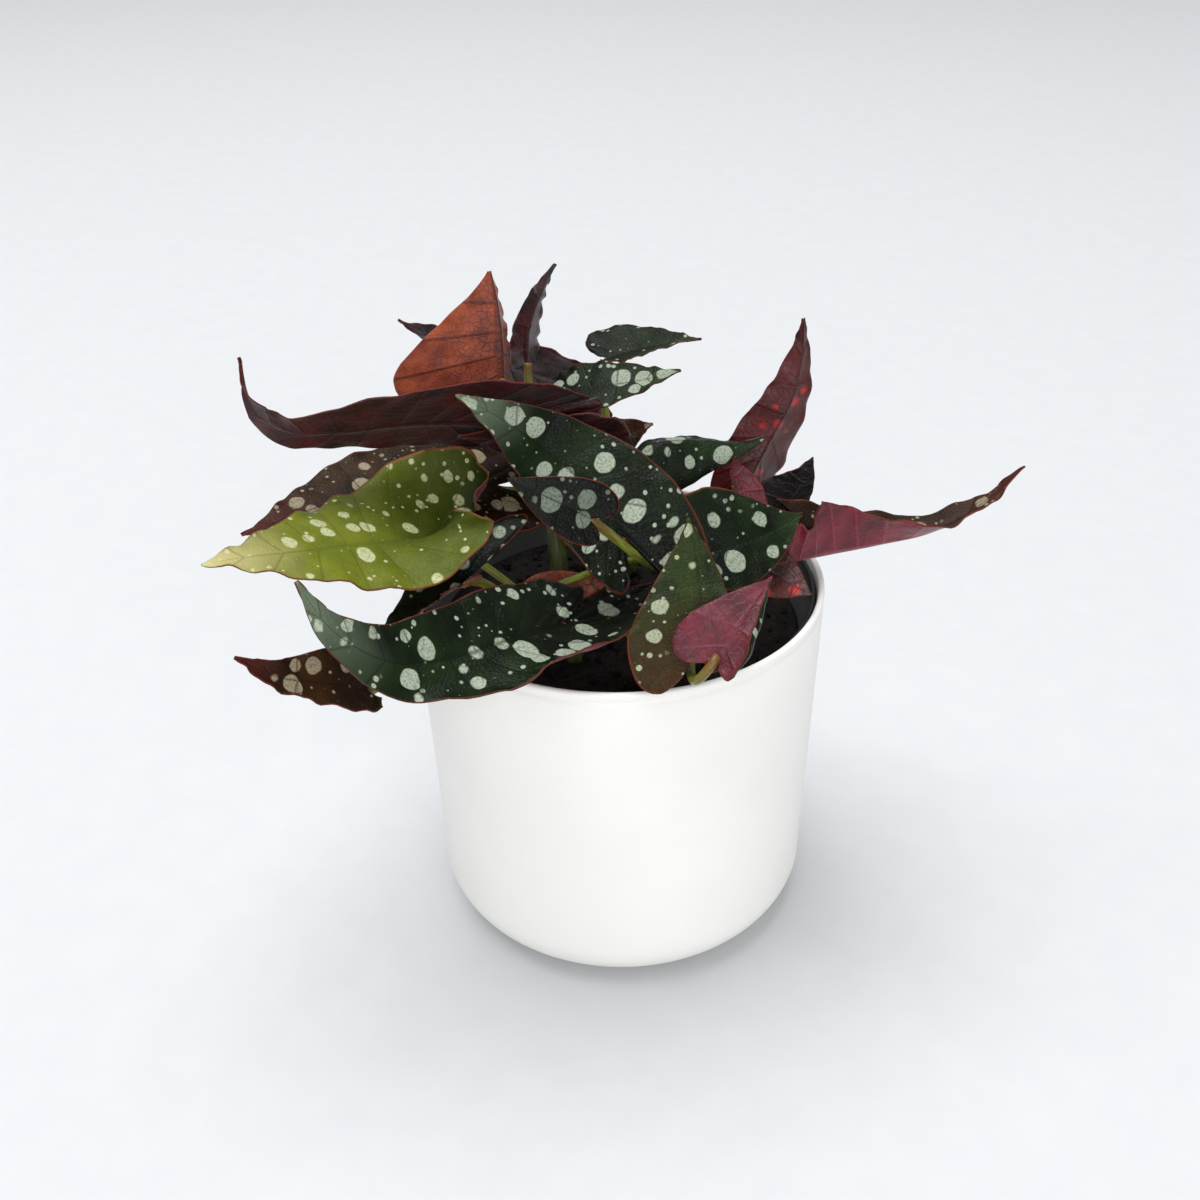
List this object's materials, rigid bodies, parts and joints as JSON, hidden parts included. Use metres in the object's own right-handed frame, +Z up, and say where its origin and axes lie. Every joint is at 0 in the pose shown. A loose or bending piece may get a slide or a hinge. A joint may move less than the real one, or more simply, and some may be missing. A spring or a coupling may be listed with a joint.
{
  "type": "potted polka dot begonia",
  "caption": "Polka dot begonia with silver-spotted angel-wing leaves on short canes, in a black nursery pot inside a plain white round planter.",
  "frame": {"origin": "centre of the planter's flat base, on the surface it stands on", "axes": "+Z up, -Y towards the front, the side with the low spread leaf; the long pointed leaf reaches towards +X"},
  "size_m": [0.2587, 0.1707, 0.2214],
  "materials": {
    "planter_glaze": "smooth satin white",
    "black_plastic": "thin black moulded plastic, satin",
    "soil": "dark damp potting soil, granular",
    "cane": "green cane with brown nodes",
    "petiole": "yellow-green, slightly red, satin",
    "leaf": "dark green with silver spots above, crimson below, soft sheen"
  },
  "bodies": {
    "root": {"planter": "planter_glaze", "nursery_pot": "black_plastic", "soil": "soil", "cane_left": "cane", "cane_back": "cane", "cane_front": "cane", "cane_right": "cane", "leaf_sickle": "leaf", "petiole_sickle": "petiole", "leaf_orange": "leaf", "petiole_orange": "petiole", "leaf_upright": "leaf", "petiole_upright": "petiole", "leaf_back": "leaf", "petiole_back": "petiole", "leaf_top_right": "leaf", "petiole_top_right": "petiole", "leaf_small_right": "leaf", "petiole_small_right": "petiole", "leaf_olive": "leaf", "petiole_olive": "petiole", "leaf_brown": "leaf", "petiole_brown": "petiole", "leaf_shadow": "leaf", "petiole_shadow": "petiole", "leaf_centre": "leaf", "petiole_centre": "petiole", "leaf_dark_lobe": "leaf", "petiole_dark_lobe": "petiole", "leaf_lobed": "leaf", "petiole_lobed": "petiole", "leaf_front_left": "leaf", "petiole_front_left": "petiole", "leaf_low_left": "leaf", "petiole_low_left": "petiole", "leaf_hanging": "leaf", "petiole_hanging": "petiole", "leaf_folded": "leaf", "petiole_folded": "petiole", "leaf_long_right": "leaf", "petiole_long_right": "petiole", "leaf_inside": "leaf", "petiole_inside": "petiole", "leaf_red_upright": "leaf", "petiole_red_upright": "petiole", "leaf_saddle": "leaf", "petiole_saddle": "petiole", "leaf_curled": "leaf", "petiole_curled": "petiole", "leaf_black": "leaf", "petiole_black": "petiole", "leaf_pink_edge": "leaf", "petiole_pink_edge": "petiole", "leaf_crumpled": "leaf", "petiole_crumpled": "petiole", "leaf_deep": "leaf", "petiole_deep": "petiole"}
  },
  "joints": []
}
